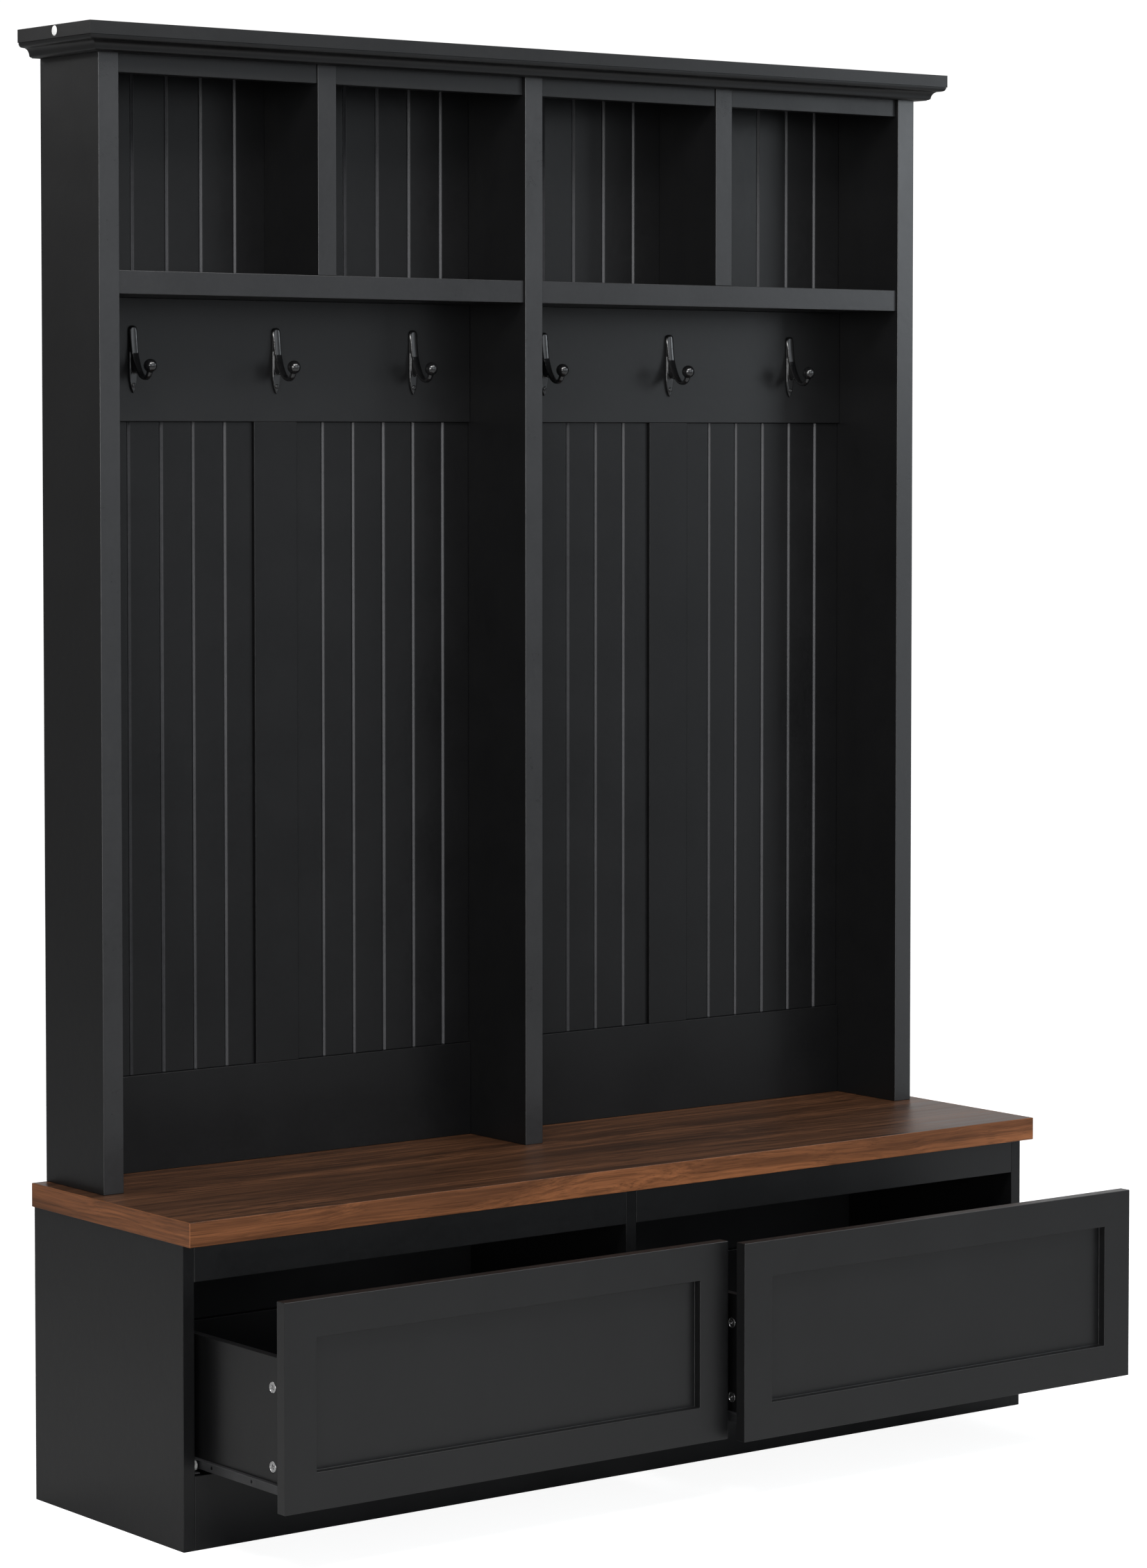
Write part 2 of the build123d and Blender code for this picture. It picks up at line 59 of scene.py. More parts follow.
# ---- small helpers ------------------------------------------------------------------------
def add_node(tree, kind, inputs=None, **settings):
    """A node with its settings, whose inputs are either linked or set to a value."""
    made = tree.nodes.new(kind)
    for key, value in settings.items():
        setattr(made, key, value)
    for key, value in (inputs or {}).items():
        if isinstance(value, bpy.types.NodeSocket):
            tree.links.new(value, made.inputs[key])
        else:
            made.inputs[key].default_value = value
    return made


class Graph:
    """A material's node tree, with short calls for the nodes used here."""

    def __init__(self, name):
        self.material = bpy.data.materials.new(name)
        self.material.use_nodes = True
        self.tree = self.material.node_tree
        self.shader = self.tree.nodes["Principled BSDF"]
        coords = self.tree.nodes.new("ShaderNodeTexCoord")
        self.position = coords.outputs["Object"]

    def node(self, kind, inputs=None, **settings):
        return add_node(self.tree, kind, inputs, **settings)

    def stretch(self, x, y, z, source=None):
        """Object coordinates scaled along each axis."""
        inputs = {"Vector": source or self.position, "Scale": (x, y, z)}
        return self.node("ShaderNodeMapping", inputs).outputs["Vector"]

    def noise(self, vector, scale, detail, roughness):
        return self.node("ShaderNodeTexNoise", {
            "Vector": vector, "Scale": scale, "Detail": detail, "Roughness": roughness,
        }).outputs["Fac"]

    def spread(self, value, low, high, to_low, to_high):
        """A value moved from one range to another, held at the ends."""
        return self.node("ShaderNodeMapRange", {
            "Value": value, "From Min": low, "From Max": high, "To Min": to_low,
            "To Max": to_high,
        }).outputs["Result"]

    def math(self, operation, a, b):
        return self.node("ShaderNodeMath", {0: a, 1: b}, operation=operation).outputs["Value"]

    def ramp(self, value, stops):
        """Colours at places along 0 to 1, blended between."""
        made = self.node("ShaderNodeValToRGB", {"Fac": value})
        elements = made.color_ramp.elements
        while len(elements) < len(stops):
            elements.new(0.5)
        for element, (place, colour) in zip(elements, stops):
            element.position = place
            element.color = (*colour, 1.0)
        return made.outputs["Color"]

    def tones(self, value, dark, light):
        """Two close colours, so that a plain finish isn't one flat value."""
        return self.ramp(value, [(0.3, dark), (0.7, light)])

    def mix(self, factor, a, b):
        """Colour socket a, turning into the colour b as the factor rises."""
        inputs = {0: factor, 6: a, 7: (*b, 1.0)}
        return self.node("ShaderNodeMix", inputs, data_type="RGBA").outputs[2]

    def bump(self, height, distance, strength, under=None):
        inputs = {"Height": height, "Distance": distance, "Strength": strength}
        if under is not None:
            inputs["Normal"] = under
        return self.node("ShaderNodeBump", inputs).outputs["Normal"]

    def set(self, socket, value):
        """Links or sets one input of the material's shader."""
        if isinstance(value, bpy.types.NodeSocket):
            self.tree.links.new(value, self.shader.inputs[socket])
        elif isinstance(value, tuple):
            self.shader.inputs[socket].default_value = (*value, 1.0)
        else:
            self.shader.inputs[socket].default_value = value


# ---- materials ----------------------------------------------------------------------------
def satin_black(name, depth, sheen, specular):
    """Sprayed satin black: faint mottling, orange peel, and slightly uneven sheen.

    depth multiplies the paint's colour, so that above 1 it paints in a highlight, and sheen is its
    middle roughness.
    """
    g = Graph(name)
    cloud = g.noise(g.position, 9.0, 4.0, 0.6)
    mottle = g.noise(g.position, 160.0, 3.0, 0.6)
    mixed = g.math("ADD", g.math("MULTIPLY", cloud, 0.55), g.math("MULTIPLY", mottle, 0.45))
    dark = (0.0034 * depth, 0.0034 * depth, 0.0036 * depth)
    light = (0.0054 * depth, 0.0054 * depth, 0.0057 * depth)
    g.set("Base Color", g.tones(mixed, dark, light))
    g.set("Roughness", g.spread(mixed, 0.3, 0.7, sheen - 0.04, sheen + 0.05))
    g.set("Specular IOR Level", specular)
    peel = g.noise(g.position, 420.0, 2.0, 0.5)
    wave = g.noise(g.position, 70.0, 2.0, 0.5)
    soft = g.bump(wave, 0.0004, 0.30)
    g.set("Normal", g.bump(peel, 0.00012, 0.30, soft))
    return g.material


WALNUT_MIDDLE = (0.066, 0.0335, 0.0195)
DARKEST_SHADE = 0.06


def walnut(name, tone, tint, across, contrast, specular):
    """Walnut-patterned foil.  across is the level axis that the grain runs square to."""
    g = Graph(name)

    def grain(long, wide, source=None):
        size = (long, wide, wide) if across == "Y" else (wide, long, wide)
        return g.stretch(*size, source)

    wander = g.noise(grain(1.3, 6.0), 1.0, 3.0, 0.5)
    drift = g.spread(wander, 0.0, 1.0, -0.05, 0.05)
    moved = g.node("ShaderNodeVectorMath", {
        0: g.position,
        1: g.node("ShaderNodeCombineXYZ", {"X": drift, "Y": drift, "Z": drift}).outputs["Vector"],
    }, operation="ADD").outputs["Vector"]
    bands = g.noise(grain(0.55, 24.0, moved), 1.0, 6.0, 0.70)
    fine = g.noise(grain(2.2, 240.0, moved), 1.0, 4.0, 0.65)
    pores = g.noise(grain(14.0, 850.0, moved), 1.0, 2.0, 0.5)

    def shade(level):
        depth = max(1 + contrast * (level - 1), DARKEST_SHADE)
        return tuple(tone * t * m * depth for m, t in zip(WALNUT_MIDDLE, tint))

    base = g.ramp(bands, [(0.30, shade(0.42)), (0.44, shade(0.78)), (0.56, shade(1.08)),
                          (0.72, shade(1.55))])
    streaked = g.mix(g.spread(fine, 0.36, 0.60, 0.55 * contrast, 0.0), base, shade(0.35))
    pored = g.mix(g.spread(pores, 0.56, 0.68, 0.0, 0.45), streaked, shade(0.25))
    g.set("Base Color", pored)
    g.set("Roughness", g.spread(fine, 0.3, 0.7, 0.33, 0.45))
    g.set("Specular IOR Level", specular)
    height = g.math("SUBTRACT", g.math("MULTIPLY", fine, 0.5),
                    g.spread(pores, 0.54, 0.70, 0.0, 0.8))
    g.set("Normal", g.bump(height, 0.00020, 0.30))
    return g.material


def hook_black():
    """Gloss black enamel over a casting."""
    g = Graph("hook_black")
    ripple = g.noise(g.position, 260.0, 2.0, 0.5)
    speck = g.noise(g.position, 1500.0, 2.0, 0.5)
    g.set("Base Color", g.tones(ripple, (0.0045, 0.0045, 0.0048), (0.0085, 0.0085, 0.0090)))
    g.set("Roughness", g.spread(speck, 0.35, 0.65, 0.13, 0.20))
    g.set("Specular IOR Level", 0.7)
    g.set("Normal", g.bump(ripple, 0.0002, 0.25))
    return g.material


def zinc():
    """Bright zinc die-casting with fine turning marks."""
    g = Graph("zinc")
    marks = g.noise(g.stretch(300.0, 300.0, 2400.0), 1.0, 3.0, 0.6)
    g.set("Base Color", g.tones(marks, (0.42, 0.42, 0.43), (0.62, 0.62, 0.61)))
    g.set("Metallic", 1.0)
    g.set("Roughness", g.spread(marks, 0.3, 0.7, 0.28, 0.42))
    g.set("Normal", g.bump(marks, 0.00008, 0.4))
    return g.material


def runner_black():
    """Powder-coated folded steel."""
    g = Graph("runner_black")
    grain = g.noise(g.position, 1800.0, 3.0, 0.6)
    patch = g.noise(g.position, 30.0, 2.0, 0.5)
    g.set("Base Color", g.tones(patch, (0.020, 0.020, 0.021), (0.034, 0.034, 0.036)))
    g.set("Roughness", g.spread(grain, 0.3, 0.7, 0.38, 0.52))
    g.set("Normal", g.bump(grain, 0.00008, 0.4))
    return g.material


def roller_nylon():
    """Off-white moulded nylon."""
    g = Graph("roller_nylon")
    cloud = g.noise(g.position, 140.0, 2.0, 0.5)
    g.set("Base Color", g.tones(cloud, (0.50, 0.50, 0.47), (0.62, 0.62, 0.60)))
    g.set("Roughness", g.spread(cloud, 0.3, 0.7, 0.30, 0.42))
    g.set("Normal", g.bump(cloud, 0.0001, 0.2))
    return g.material


def cap_white():
    """Matt white moulded cap."""
    g = Graph("cap_white")
    grain = g.noise(g.position, 900.0, 2.0, 0.5)
    g.set("Base Color", g.tones(grain, (0.70, 0.70, 0.69), (0.82, 0.82, 0.81)))
    g.set("Roughness", g.spread(grain, 0.3, 0.7, 0.45, 0.6))
    g.set("Normal", g.bump(grain, 0.00005, 0.3))
    return g.material


def dark_hardboard():
    """Black film-faced fibreboard, flatter than the paint."""
    g = Graph("dark_hardboard")
    fibre = g.noise(g.stretch(500.0, 500.0, 500.0), 1.0, 4.0, 0.65)
    cloud = g.noise(g.position, 12.0, 3.0, 0.5)
    g.set("Base Color", g.tones(cloud, (0.016, 0.016, 0.017), (0.024, 0.024, 0.025)))
    g.set("Roughness", g.spread(fibre, 0.3, 0.7, 0.5, 0.62))
    g.set("Normal", g.bump(fibre, 0.00012, 0.4))
    return g.material


MATERIALS = {
    "satin_black_paint": satin_black("satin_black_paint", depth=1.0, sheen=0.36, specular=0.34),
    "walnut": walnut("walnut", tone=1.30, tint=(1.0, 0.81, 0.60), across="Y", contrast=1.35,
                     specular=0.35),
    "hook_black": hook_black(),
    "zinc": zinc(),
    "runner_black": runner_black(),
    "roller_nylon": roller_nylon(),
    "cap_white": cap_white(),
    "dark_hardboard": dark_hardboard(),
}

# The one black paint, set apart on some faces for how much they catch the studio's light: the
# edge, post and groove copies are lighter in colour as a painted highlight.
EDGE_HIGHLIGHT_PAINT = satin_black("satin_black_edge_painted_highlight", depth=2.6, sheen=0.30, specular=0.43)
POST_HIGHLIGHT_PAINT = satin_black("satin_black_post_painted_highlight", depth=2.6, sheen=0.30, specular=0.60)
FRONT_PAINT = satin_black("satin_black_front", depth=1.0, sheen=0.36, specular=0.44)
# grooves' walls painted ten times lighter: a painted highlight
GROOVE_HIGHLIGHT_PAINT = satin_black("satin_black_groove_painted_highlight", depth=10.0, sheen=0.32, specular=0.13)
HOOK_BOARD_PAINT = satin_black("satin_black_hook_board", depth=1.0, sheen=0.34, specular=0.36)
BACK_PAINT = satin_black("satin_black_back", depth=1.0, sheen=0.32, specular=0.25)

# The bench top's edge bands are a lighter walnut than its face.
BAND_TINT = (1.0, 0.74, 0.49)
BAND_ALONG_X = walnut("walnut_band_front", tone=3.5, tint=BAND_TINT, across="Y", contrast=1.15,
                      specular=0.2)
BAND_ALONG_Y = walnut("walnut_band_end", tone=3.5, tint=BAND_TINT, across="X", contrast=1.15,
                      specular=0.2)
# The front band's end faces: the band's lighter core, lightened further as a painted highlight
# along the front corners.
BAND_CORE_AND_HIGHLIGHT = walnut("walnut_band_core_and_highlight", tone=5.4, tint=BAND_TINT, across="Y", contrast=0.3,
                   specular=0.2)

PAINTS = {
    "hook_board": HOOK_BOARD_PAINT, "lower_back_board": BACK_PAINT, "back_stile": BACK_PAINT,
    "beadboard": BACK_PAINT, "cubby_back": BACK_PAINT, "drawer_left_front": FRONT_PAINT,
    "drawer_right_front": FRONT_PAINT, "base_top_rail": FRONT_PAINT,
}
# Nodes whose front faces, or the right-hand walls of whose grooves, get a lighter copy of the
# paint as a painted highlight.
FRONT_HIGHLIGHTS = {
    "hutch_side": POST_HIGHLIGHT_PAINT, "hutch_divider": POST_HIGHLIGHT_PAINT, "shelf": EDGE_HIGHLIGHT_PAINT,
    "cubby_divider": EDGE_HIGHLIGHT_PAINT,
}
GROOVED_NODES = ("beadboard", "cubby_back")


# ---- making pieces ------------------------------------------------------------------------
def add_piece(name, mesh, node):
    """A new visible piece that stands for a CAD node and rides with its body."""
    obj = bpy.data.objects.new(name, mesh)
    bpy.context.scene.collection.objects.link(obj)
    if not mesh.materials:      # clearing a list that has materials would lose the faces' indices
        mesh.materials.append(None)
    mesh.materials[0] = MATERIALS[SLOT_OF[node]]
    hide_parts(node)
    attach(obj, BODY_OF[node])
    return obj


def mesh_from(bm, name):
    """A smooth-shaded mesh, without any normals kept from the CAD."""
    bmesh.ops.recalc_face_normals(bm, faces=bm.faces)
    mesh = bpy.data.meshes.new(name)
    bm.to_mesh(mesh)
    bm.free()
    if "custom_normal" in mesh.attributes:
        mesh.attributes.remove(mesh.attributes["custom_normal"])
    for polygon in mesh.polygons:
        polygon.use_smooth = True
    return mesh


def round_edges(obj, radius, segments, angle=25.0):
    """Rounds the edges that turn by more than the angle, in degrees."""
    bevel = obj.modifiers.new("rounded_edges", "BEVEL")
    bevel.width = radius
    bevel.segments = segments
    bevel.limit_method = "ANGLE"
    bevel.angle_limit = math.radians(angle)
    bevel.harden_normals = True


def node_form(node, flatten=True):
    """The CAD node's own shape, welded, and with the triangles of its flat faces joined."""
    bm = bmesh.new()
    bm.from_mesh(NODES[node].data)
    bmesh.ops.remove_doubles(bm, verts=bm.verts, dist=WELD)
    if flatten:
        bmesh.ops.dissolve_limit(bm, angle_limit=FLAT, verts=bm.verts, edges=bm.edges)
    return bm


def paint_faces(obj, paint, wanted):
    """Gives the faces that wanted picks a second paint."""
    obj.data.materials.append(paint)
    for polygon in obj.data.polygons:
        if wanted(polygon):
            polygon.material_index = 1


def rounded_copy(node, radius, segments):
    """The CAD node's own shape, with its edges rounded over."""
    obj = add_piece(f"{node}_board", mesh_from(node_form(node), f"{node}_mesh"), node)
    for start, paint in PAINTS.items():
        if node.startswith(start):
            obj.data.materials[0] = paint
    front = min(v.co.y for v in obj.data.vertices) + FRONT_REACH
    # the foremost front faces of these nodes get a lighter copy of the paint: a painted highlight
    for start, paint in FRONT_HIGHLIGHTS.items():
        if node.startswith(start):
            paint_faces(obj, paint, lambda face: face.normal.y < -0.9 and face.center.y < front)
    # the grooves' right-hand walls, facing left and forward, are painted ten times lighter: a
    # painted highlight
    if node.startswith(GROOVED_NODES):
        paint_faces(obj, GROOVE_HIGHLIGHT_PAINT, lambda face: max(face.normal.x, face.normal.y) < -0.3)
    round_edges(obj, radius, segments)


WELD = 1e-6
FLAT = math.radians(0.5)
FRONT_REACH = 0.0005        # how far behind the foremost point a front face can lie
BOARD_EDGE = 0.0009
CAP_BOARD_EDGE = 0.0008
SHEET_EDGE = 0.0003
FINE_EDGE_ANGLE = 40.0      # for small turned and cut pieces
DETAILED = (
    "bench_top", "cornice_end_caps", "crown_", "drawer_left_cams", "drawer_left_runners",
    "drawer_right_cams", "drawer_right_runners", "front_rollers", "rear_rollers", "hook_screws",
    *(f"hook_{number}" for number in range(1, 7)),
)
for name in sorted(NODES):
    if name.startswith(DETAILED):
        continue
    if SLOT_OF[name] != "satin_black_paint":
        rounded_copy(name, SHEET_EDGE, 2)
    else:
        rounded_copy(name, CAP_BOARD_EDGE if name == "cornice_board" else BOARD_EDGE, 3)


def add_box(bm, low, high, material_index=0):
    """A plain block in a larger mesh; its edges are rounded later."""
    corners = [bm.verts.new((x, y, z)) for z in (low[2], high[2]) for y in (low[1], high[1])
               for x in (low[0], high[0])]
    for loop in ((0, 2, 3, 1), (4, 5, 7, 6), (0, 1, 5, 4), (2, 6, 7, 3), (0, 4, 6, 2),
                 (1, 3, 7, 5)):
        bm.faces.new([corners[k] for k in loop]).material_index = material_index


# ---- bench top ----------------------------------------------------------------------------
# A foil-faced board with a separate band glued round its front and ends.
BAND = 0.0016
BENCH_EDGE = 0.0007
FACE, FRONT_BAND, END_BAND, CORE = range(4)     # the bench top's materials, in order
low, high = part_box("bench_top")
bm = bmesh.new()
add_box(bm, (low.x + BAND, low.y + BAND, low.z), (high.x - BAND, high.y, high.z), FACE)
add_box(bm, (low.x, low.y, low.z), (high.x, low.y + BAND, high.z), FRONT_BAND)
for left in (low.x, high.x - BAND):
    add_box(bm, (left, low.y + BAND, low.z), (left + BAND, high.y, high.z), END_BAND)
bench = add_piece("bench_top_board", mesh_from(bm, "bench_top_mesh"), "bench_top")
for extra in (BAND_ALONG_X, BAND_ALONG_Y, BAND_CORE_AND_HIGHLIGHT):
    bench.data.materials.append(extra)
for polygon in bench.data.polygons:
    # the front band's end faces take the core walnut, partly the band's own core and partly a
    # painted highlight
    if polygon.material_index == FRONT_BAND and abs(polygon.normal.x) > 0.9:
        polygon.material_index = CORE
round_edges(bench, BENCH_EDGE, 3)


# ---- small turned and slotted pieces --------------------------------------------------------
def middle_of(a, b):
    return (Vector(a) + Vector(b)) / 2


def islands(node):
    """The corner pair of every separate solid in a CAD node, left to right."""
    bm = node_form(node, flatten=False)
    waiting, found = set(bm.verts), []
    while waiting:
        stack, group = [waiting.pop()], []
        while stack:
            vertex = stack.pop()
            group.append(vertex.co.copy())
            for edge in vertex.link_edges:
                other = edge.other_vert(vertex)
                if other in waiting:
                    waiting.remove(other)
                    stack.append(other)
        found.append((Vector([min(p[i] for p in group) for i in range(3)]),
                      Vector([max(p[i] for p in group) for i in range(3)])))
    bm.free()
    return sorted(found, key=lambda pair: tuple(round(v, 4) for v in pair[0]))


def turn(bm, profile, matrix, steps=36, ring_shaped=False):
    """A profile of (radius, height) turned about the matrix's own Z axis."""
    loops = []
    for radius, height in profile:
        if radius < 1e-6:
            loops.append([bm.verts.new(matrix @ Vector((0, 0, height)))])
        else:
            loops.append([bm.verts.new(matrix @ Vector((
                radius * math.cos(2 * math.pi * k / steps),
                radius * math.sin(2 * math.pi * k / steps), height))) for k in range(steps)])
    pairs = list(zip(loops, loops[1:]))
    if ring_shaped:
        pairs.append((loops[-1], loops[0]))
    for a, b in pairs:
        for k in range(steps):
            n = (k + 1) % steps
            if len(a) == 1:
                bm.faces.new((a[0], b[n], b[k]))
            elif len(b) == 1:
                bm.faces.new((a[k], a[n], b[0]))
            else:
                bm.faces.new((a[k], a[n], b[n], b[k]))


def facing(place, outward):
    """A frame at a place whose own Z axis points outward."""
    turned = Vector(outward).to_track_quat("Z", "Y").to_matrix().to_4x4()
    return Matrix.Translation(place) @ turned


def cross_slot(bm, matrix, length, width, depth):
    """A cutter for a cross recess sunk below the matrix's own Z = 0 plane."""
    for a, b in ((length, width), (width, length)):
        block = bmesh.new()
        add_box(block, (-a / 2, -b / 2, -depth), (a / 2, b / 2, depth))
        block.transform(matrix)
        scrap = bpy.data.meshes.new("cutter")
        block.to_mesh(scrap)
        block.free()
        bm.from_mesh(scrap)
        bpy.data.meshes.remove(scrap)


def carve(mesh, cutters):
    """A mesh less the cutters, as a new mesh."""
    solid = bpy.data.objects.new("solid", mesh)
    tool = bpy.data.objects.new("tool", mesh_from(cutters, "tool"))
    for obj in (solid, tool):
        bpy.context.scene.collection.objects.link(obj)
    cut = solid.modifiers.new("cut", "BOOLEAN")
    cut.operation = "DIFFERENCE"
    cut.solver = "EXACT"
    cut.use_self = True
    cut.object = tool
    bpy.context.view_layer.update()
    graph = bpy.context.evaluated_depsgraph_get()
    made = bpy.data.meshes.new_from_object(solid.evaluated_get(graph))
    for obj in (solid, tool):
        bpy.data.objects.remove(obj)
    return made


# Cam locks: a dished face with a cross slot, looking out from the drawer side.
CAM_DISH = -0.0008
CAM_PROFILE = [(0.0, -0.0090), (0.0074, -0.0090), (0.0074, -0.0006), (0.0070, -0.0002),
               (0.0063, -0.0002), (0.0060, CAM_DISH), (0.0, CAM_DISH)]
CAM_SLOT = (0.0074, 0.0017, 0.0024)
CAM_SLOT_TURN = 0.5
CAM_EDGE = 0.00012
for side in SIDES:
    node = f"drawer_{side}_cams"
    middle = middle_of(*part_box(node)).x
    bm, cutters = bmesh.new(), bmesh.new()
    for a, b in islands(node):
        sign = -1 if a.x < middle else 1
        place = middle_of(a, b)
        place.x = a.x if sign < 0 else b.x
        spot = facing(place, (sign, 0, 0))
        turn(bm, CAM_PROFILE, spot)
        dish = spot @ Matrix.Translation((0, 0, CAM_DISH)) @ Matrix.Rotation(CAM_SLOT_TURN, 4, "Z")
        cross_slot(cutters, dish, *CAM_SLOT)
    piece = add_piece(f"{node}_turned", carve(mesh_from(bm, f"{node}_mesh"), cutters), node)
    round_edges(piece, CAM_EDGE, 2, FINE_EDGE_ANGLE)

# White caps on the ends of the cornice board, and the runners' nylon rollers.
TURNED_EDGE = 0.0001
CAP_PROFILE = [(0.0, 0.0), (0.0071, 0.0), (0.0071, 0.0022), (0.0068, 0.0026), (0.0060, 0.0029),
               (0.0, 0.0030)]
bm = bmesh.new()
for a, b in islands("cornice_end_caps"):
    sign = -1 if a.x < 0 else 1
    place = middle_of(a, b)
    place.x = b.x if sign < 0 else a.x
    turn(bm, CAP_PROFILE, facing(place, (sign, 0, 0)))
piece = add_piece("cornice_end_caps_turned", mesh_from(bm, "cornice_end_caps_mesh"),
                  "cornice_end_caps")
round_edges(piece, TURNED_EDGE, 2, FINE_EDGE_ANGLE)

ROLLER_WIDTH = 0.0070
HALF_ROLLER = [(0.0026, 0.0), (0.0042, 0.0), (0.0045, 0.0005), (0.0062, 0.0005), (0.0066, 0.0),
               (0.0073, 0.0), (0.0078, 0.0006)]
ROLLER_PROFILE = HALF_ROLLER + [(r, ROLLER_WIDTH - h) for r, h in reversed(HALF_ROLLER)]
for node in (f"{end}_rollers_{side}" for end in ("front", "rear") for side in SIDES):
    bm = bmesh.new()
    for a, b in islands(node):
        place = middle_of(a, b)
        place.x = a.x
        turn(bm, ROLLER_PROFILE, facing(place, (1, 0, 0)), ring_shaped=True)
    piece = add_piece(f"{node}_turned", mesh_from(bm, f"{node}_mesh"), node)
    round_edges(piece, TURNED_EDGE, 2, FINE_EDGE_ANGLE)

# ---- drawer runners: the member under each drawer side, punched for its screws ---------------
HOLES_ALONG = (0.022, 0.086, 0.182, 0.246)      # from the runner's front end
HOLE_HEIGHT = 0.0065
HOLE_RADIUS = 0.0024
CUT_REACH = 0.02
RUNNER_EDGE = 0.00025
PUNCH = [(0.0, -CUT_REACH), (HOLE_RADIUS, -CUT_REACH), (HOLE_RADIUS, CUT_REACH), (0.0, CUT_REACH)]
for side in SIDES:
    node = f"drawer_{side}_runners"
    cutters = bmesh.new()
    for a, b in islands(node):
        for along in HOLES_ALONG:
            place = Vector(((a.x + b.x) / 2, a.y + along, a.z + HOLE_HEIGHT))
            turn(cutters, PUNCH, facing(place, (1, 0, 0)), 20)
    folded = carve(mesh_from(node_form(node), f"{node}_mesh"), cutters)
    round_edges(add_piece(f"{node}_folded", folded, node), RUNNER_EDGE, 2, FINE_EDGE_ANGLE)

# ---- cornice moulding ---------------------------------------------------------------------
# Section of the moulding: out from the hutch, then up from the moulding's underside.
CROWN_SECTION = [
    (0.0, 0.0), (0.0126, 0.0), (0.0132, 0.0006), (0.0150, 0.0011), (0.0168, 0.0022),
    (0.0172, 0.0036), (0.0177, 0.0062), (0.0188, 0.0088), (0.0205, 0.0110), (0.0228, 0.0126),
    (0.0240, 0.0131), (0.0290, 0.0136), (0.0303, 0.0139), (0.0318, 0.0146), (0.0330, 0.0160),
    (0.0338, 0.0178), (0.0340, 0.0200),
]
MOULDING_EDGE = 0.00025


def moulding(name, node, start, end, back):
    """A straight run of the cornice moulding between two functions of (out, height).

    back is 0, or negative where the moulding has packing behind it.
    """
    bm = bmesh.new()
    section = CROWN_SECTION + [(back, CROWN_SECTION[-1][1])]
    if back < 0:
        section.append((back, 0.0))
    rings = [[bm.verts.new(place(out, up)) for out, up in section] for place in (start, end)]
    count = len(section)
    for k in range(count):
        bm.faces.new((rings[0][k], rings[0][(k + 1) % count], rings[1][(k + 1) % count],
                      rings[1][k]))
    bm.faces.new(rings[0])
    bm.faces.new(rings[1])
    round_edges(add_piece(name, mesh_from(bm, f"{name}_mesh"), node), MOULDING_EDGE, 2, 50.0)


crown_low, crown_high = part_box("crown_front")
hutch_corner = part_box("hutch_side_right")[1]
half_width = hutch_corner.x
rear = hutch_corner.y
crown_z = crown_low.z
corner = crown_low.y + CROWN_SECTION[-1][0]
packing = crown_high.y - corner

moulding("crown_front_run", "crown_front",
         lambda o, u: (-half_width - max(o, 0.0), corner - o, crown_z + u),
         lambda o, u: (half_width + max(o, 0.0), corner - o, crown_z + u), -packing)
for name, sign in (("left", -1), ("right", 1)):
    moulding(f"crown_return_{name}_run", f"crown_return_{name}",
             lambda o, u: (sign * (half_width + o), rear, crown_z + u),
             lambda o, u: (sign * (half_width + o), corner - o, crown_z + u), 0.0)


# ---- hooks --------------------------------------------------------------------------------
RING_COUNT = 24


def ring(bm, centre, across, up, half_across, half_up, power):
    """A superellipse of vertices round a centre, in the plane of two unit vectors."""
    made = []
    for k in range(RING_COUNT):
        angle = 2 * math.pi * k / RING_COUNT
        c, s = math.cos(angle), math.sin(angle)
        a = math.copysign(abs(c) ** (2 / power), c) * half_across
        b = math.copysign(abs(s) ** (2 / power), s) * half_up
        made.append(bm.verts.new(centre + across * a + up * b))
    return made


def loft(bm, rings):
    """A closed skin through rings of the same number of vertices."""
    count = len(rings[0])
    for near, far in zip(rings, rings[1:]):
        for k in range(count):
            bm.faces.new((near[k], near[(k + 1) % count], far[(k + 1) % count], far[k]))
    bm.faces.new(rings[0])
    bm.faces.new(rings[-1])


# The strap and arm's middle line from the strap's top: distance out from the board and height
# above the plate's tip, then half width and half thickness, in millimetres.
HOOK_LINE = [
    (3.2, 93.4, 2.6, 1.3), (3.2, 91.4, 4.6, 1.9), (3.1, 88.4, 5.6, 2.2), (3.4, 81.0, 6.1, 2.5),
    (3.9, 74.6, 6.2, 2.6), (5.2, 65.0, 6.2, 2.7), (6.8, 55.3, 6.2, 2.8), (8.7, 49.8, 6.1, 2.9),
    (10.9, 44.8, 5.9, 2.9), (13.5, 39.5, 5.6, 3.0), (16.5, 34.4, 5.3, 3.0),
    (19.6, 30.1, 5.1, 3.0), (22.9, 26.3, 5.0, 3.0), (26.2, 23.4, 4.8, 3.0),
    (29.8, 21.7, 4.7, 3.0), (33.3, 20.9, 4.6, 3.0), (36.7, 20.9, 4.6, 3.0),
    (40.2, 22.4, 4.5, 3.1), (43.0, 24.8, 4.4, 3.2), (45.5, 29.0, 4.4, 3.4),
    (46.8, 33.0, 4.3, 3.6),
]
# The web between the plate and the strap: distance out, middle height and half height.
HOOK_WEB = [(1.0, 52.0, 24.0), (6.0, 43.5, 15.5), (11.0, 36.0, 8.5), (16.0, 30.7, 4.5)]
HOOK_WEB_HALF = 4.6
HOOK_BALL = (47.5, 38.0, 9.5)       # distance out, height and radius
